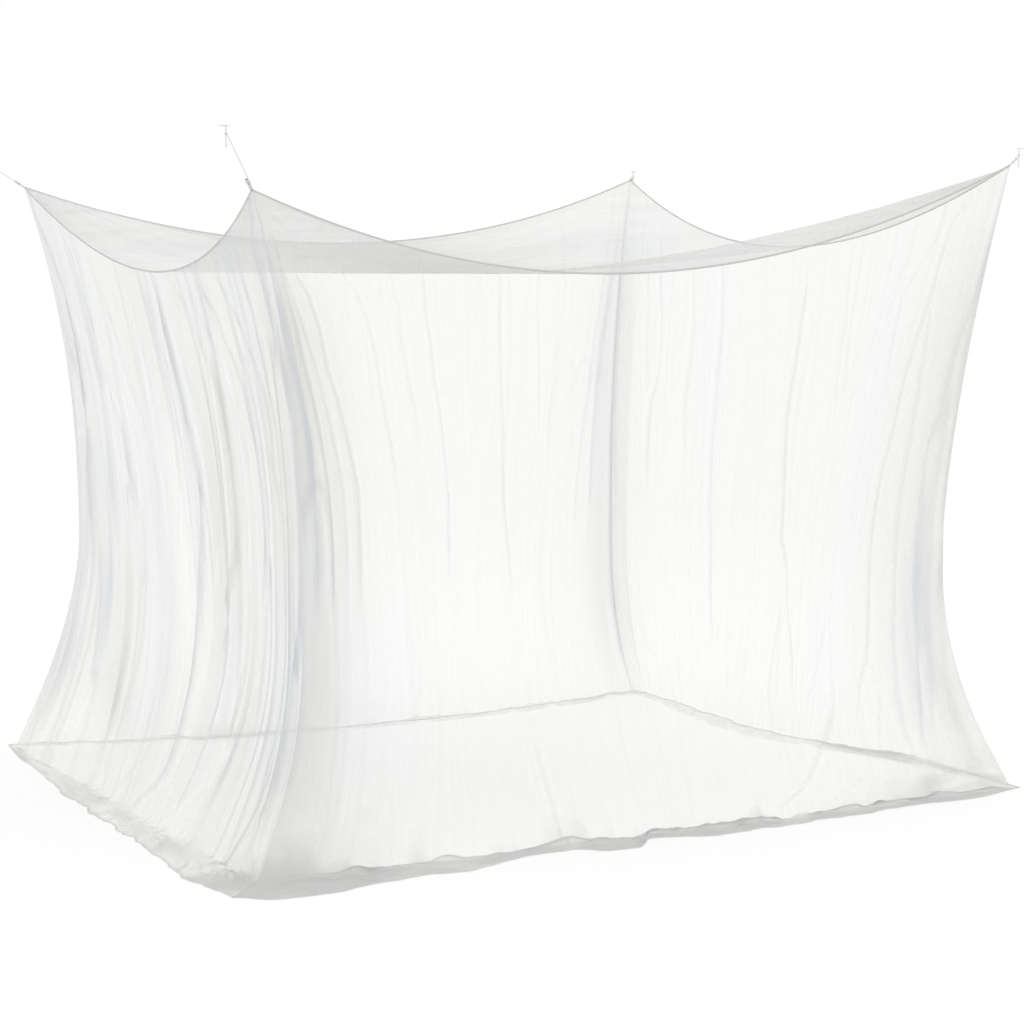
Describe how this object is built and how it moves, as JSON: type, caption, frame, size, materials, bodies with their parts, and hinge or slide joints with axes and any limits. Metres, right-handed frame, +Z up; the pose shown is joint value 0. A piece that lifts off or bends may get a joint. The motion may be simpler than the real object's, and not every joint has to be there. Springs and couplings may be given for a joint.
{
  "type": "box mosquito net canopy with hanging cords and ceiling hooks",
  "caption": "Rectangular mosquito net canopy with a sagging roof and hanging walls that reach the floor, hung by corner cords from ceiling hooks.",
  "frame": {"origin": "on the floor, under the middle of the canopy's box measured without its cords", "axes": "+X along the long front wall to its right end, +Y from the front wall to the back wall, +Z up"},
  "size_m": [3.5472, 3.1924, 2.565],
  "materials": {
    "net": "fine white polyester mesh, sheer",
    "binding": "narrow woven tape",
    "tape": "woven tape",
    "cord": "braided cord",
    "hook": "satin white"
  },
  "bodies": {
    "root": {"roof": "net", "wall_left": "net", "wall_front": "net", "wall_right": "net", "wall_back": "net", "binding_left": "binding", "binding_front": "binding", "binding_right": "binding", "binding_back": "binding", "loop_front_left": "tape", "loop_front_right": "tape", "loop_back_right": "tape", "loop_back_left": "tape", "cord_front_left": "cord", "cord_front_right": "cord", "cord_back_right": "cord", "cord_back_left": "cord", "hook_front_left": "hook", "hook_front_right": "hook", "hook_back_right": "hook", "hook_back_left": "hook"}
  },
  "joints": []
}
